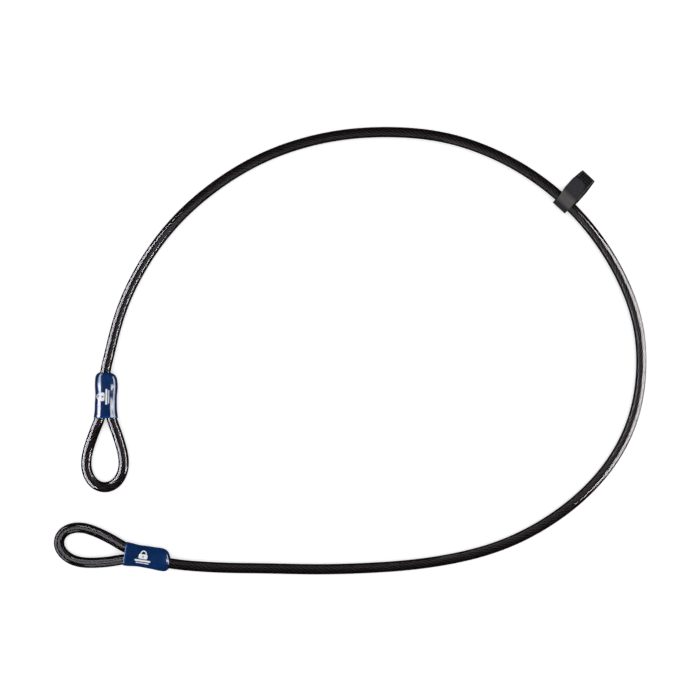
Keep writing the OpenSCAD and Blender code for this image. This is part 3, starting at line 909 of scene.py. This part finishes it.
# x and z of the points that the left boxes run between, and the height of the windows and fills
LEFT_TOP, LEFT_HIGH, LEFT_LOW = (-0.63, 0.54), (-0.80, 0.36), (-0.95, 0.0)
WINDOW_Z = 0.3
LILAC, VIOLET, WARM, WHITE = (0.93, 0.90, 1.0), (0.90, 0.86, 1.0), (1, 0.955, 0.955), (1, 1, 1)


def softbox(name, centre, size, radiance, colour, on=None, target=None):
    """An area light that faces straight down unless it has a target, and reaches the pieces in on.

    It shows in gloss and through the sheath, and leaves the ground even."""
    data = bpy.data.lights.new(name, "AREA")
    data.shape = "RECTANGLE"
    data.size, data.size_y = size
    data.energy = radiance * size[0] * size[1] * math.pi
    data.color = colour
    obj = bpy.data.objects.new(name, data)
    obj.location = centre
    facing = Vector(target or (*centre[:2], 0)) - Vector(centre)
    obj.rotation_euler = facing.to_track_quat("-Z", "Y").to_euler()
    obj.visible_camera = False
    obj.visible_diffuse = False
    bpy.context.scene.collection.objects.link(obj)
    if on:
        group = bpy.data.collections.new(name + "_on")
        for piece in on:
            group.objects.link(bpy.data.objects[piece])
        obj.light_linking.receiver_collection = group
    return obj


def slanted(name, high, low, y, width, radiance, colour, on):
    """A strip light between two points [x, z], facing the middle of the cable."""
    high, low = Vector((high[0], y, high[1])), Vector((low[0], y, low[1]))
    centre, slope = (high + low) / 2, low - high
    facing = slope.cross(Vector((0, 1, 0)))
    if facing.x * centre.x > 0:
        facing.negate()
    box = softbox(name, centre, (slope.length, width), radiance, colour, on, centre + facing)
    slope.normalize()
    facing.normalize()
    box.rotation_euler = Matrix((slope, facing.cross(slope) * -1, -facing)).transposed().to_euler()


slanted("left_box", LEFT_HIGH, LEFT_LOW, -0.2, 1.6, 12.0, LILAC, NOT_EYE_NOR_FIRST)
slanted("left_top", LEFT_TOP, LEFT_HIGH, -0.2, 1.6, 10.0, LILAC, NOT_EYE)
slanted("right_box", (0.63, 0.62), (0.95, 0.0), -0.05, 1.1, 11.5, WARM, NOT_EYE)
softbox("right_ground", (0.52, -0.06, 0.0004), (0.34, 0.36), 3.4, WARM, target=(0.52, -0.06, 1))
softbox("low_panel", (0.02, 0.01, 0.08), (0.5, 0.28), 0.5, VIOLET, SHEATHS)
softbox("high_panel", (0.02, 0, 0.35), (0.6, 0.36), 0.25, VIOLET, SHEATHS)
# windows that the first boot mirrors
softbox("long_window", (0, -0.0595, WINDOW_Z), (0.30, 0.036), 15.0, WHITE, FIRST)
softbox("short_window", (0, -0.033, WINDOW_Z), (0.30, 0.008), 15.0, WHITE, FIRST)
softbox("left_window", (-0.70, -0.056, WINDOW_Z), (0.46, 0.054), 13.0, LILAC, FIRST)
# soft fills and a box for the second eye, and the window that the second boot mirrors
softbox("back_fill", (-0.31, 0.08, WINDOW_Z), (0.22, 0.18), 3.4, LILAC, SECOND, (-0.31, -0.2, 0))
softbox("front_fill", (-0.32, -0.72, WINDOW_Z), (0.26, 0.4), 2.0, LILAC, SECOND, (-0.32, -0.25, 0))
softbox("over_fill", (-0.3, -0.23, WINDOW_Z), (0.3, 0.24), 2.3, LILAC, SECOND)
slanted("tip_box", LEFT_HIGH, LEFT_LOW, -0.2, 1.6, 3.5, LILAC, SECOND)
softbox("spot_window", (-0.02, -0.243, WINDOW_Z), (0.15, 0.09), 16.0, WHITE, SECOND_BOOT)

# an even light from above that gloss doesn't mirror
sun = bpy.data.objects.new("fill_sun", bpy.data.lights.new("fill_sun", "SUN"))
sun.data.energy = 2.6
sun.data.angle = math.radians(100)
sun.visible_glossy = False
bpy.context.scene.collection.objects.link(sun)

world = bpy.data.worlds.new("studio")
world.use_nodes = True
world_tree = world.node_tree
background = world_tree.nodes["Background"]
path = world_tree.nodes.new("ShaderNodeLightPath")
dim = world_tree.nodes.new("ShaderNodeMapRange")
WORLD_LIGHT, WORLD_SEEN = 0.04, 0.9  # strength as light, and as the camera sees it
dim.inputs["To Min"].default_value, dim.inputs["To Max"].default_value = WORLD_LIGHT, WORLD_SEEN
world_tree.links.new(path.outputs["Is Camera Ray"], dim.inputs["Value"])
world_tree.links.new(dim.outputs["Result"], background.inputs["Strength"])
background.inputs["Color"].default_value = (1, 1, 1, 1)
bpy.context.scene.world = world
bpy.context.scene.view_settings.view_transform = "Standard"

floor_paint = Paint("floor_white", base_color=(0.9, 0.9, 0.9), roughness=0.9,
                    specular_ior_level=0.1, emission_color=(1, 1, 1), emission_strength=0.45)
floor = make("floor", [(-30, -30, 0), (30, -30, 0), (30, 30, 0), (-30, 30, 0)], [[0, 1, 2, 3]],
             floor_paint.material, smooth_faces=False)
floor.location.z = -0.0002
floor.visible_glossy = False

# a dim card keeps the left boxes off the right stretch
flag_paint = Paint("flag_dim", base_color=(0.002, 0.002, 0.002), roughness=1.0,
                   specular_ior_level=0.0, emission_color=(0.93, 0.88, 1.0), emission_strength=0.8)
flag_corners = (-0.21, 0.003), (0.2, 0.003), (0.2, 0.1), (-0.21, 0.1)
flag = make("flag", [(0.1, y, z) for y, z in flag_corners], [[0, 1, 2, 3]], flag_paint.material,
            smooth_faces=False)
flag.visible_camera = False
flag.visible_diffuse = False
# the sun passes the card
shade = bpy.data.collections.new("sun_shade")
for obj in bpy.context.scene.objects:
    if obj.type == "MESH" and obj != flag:
        shade.objects.link(obj)
sun.light_linking.blocker_collection = shade
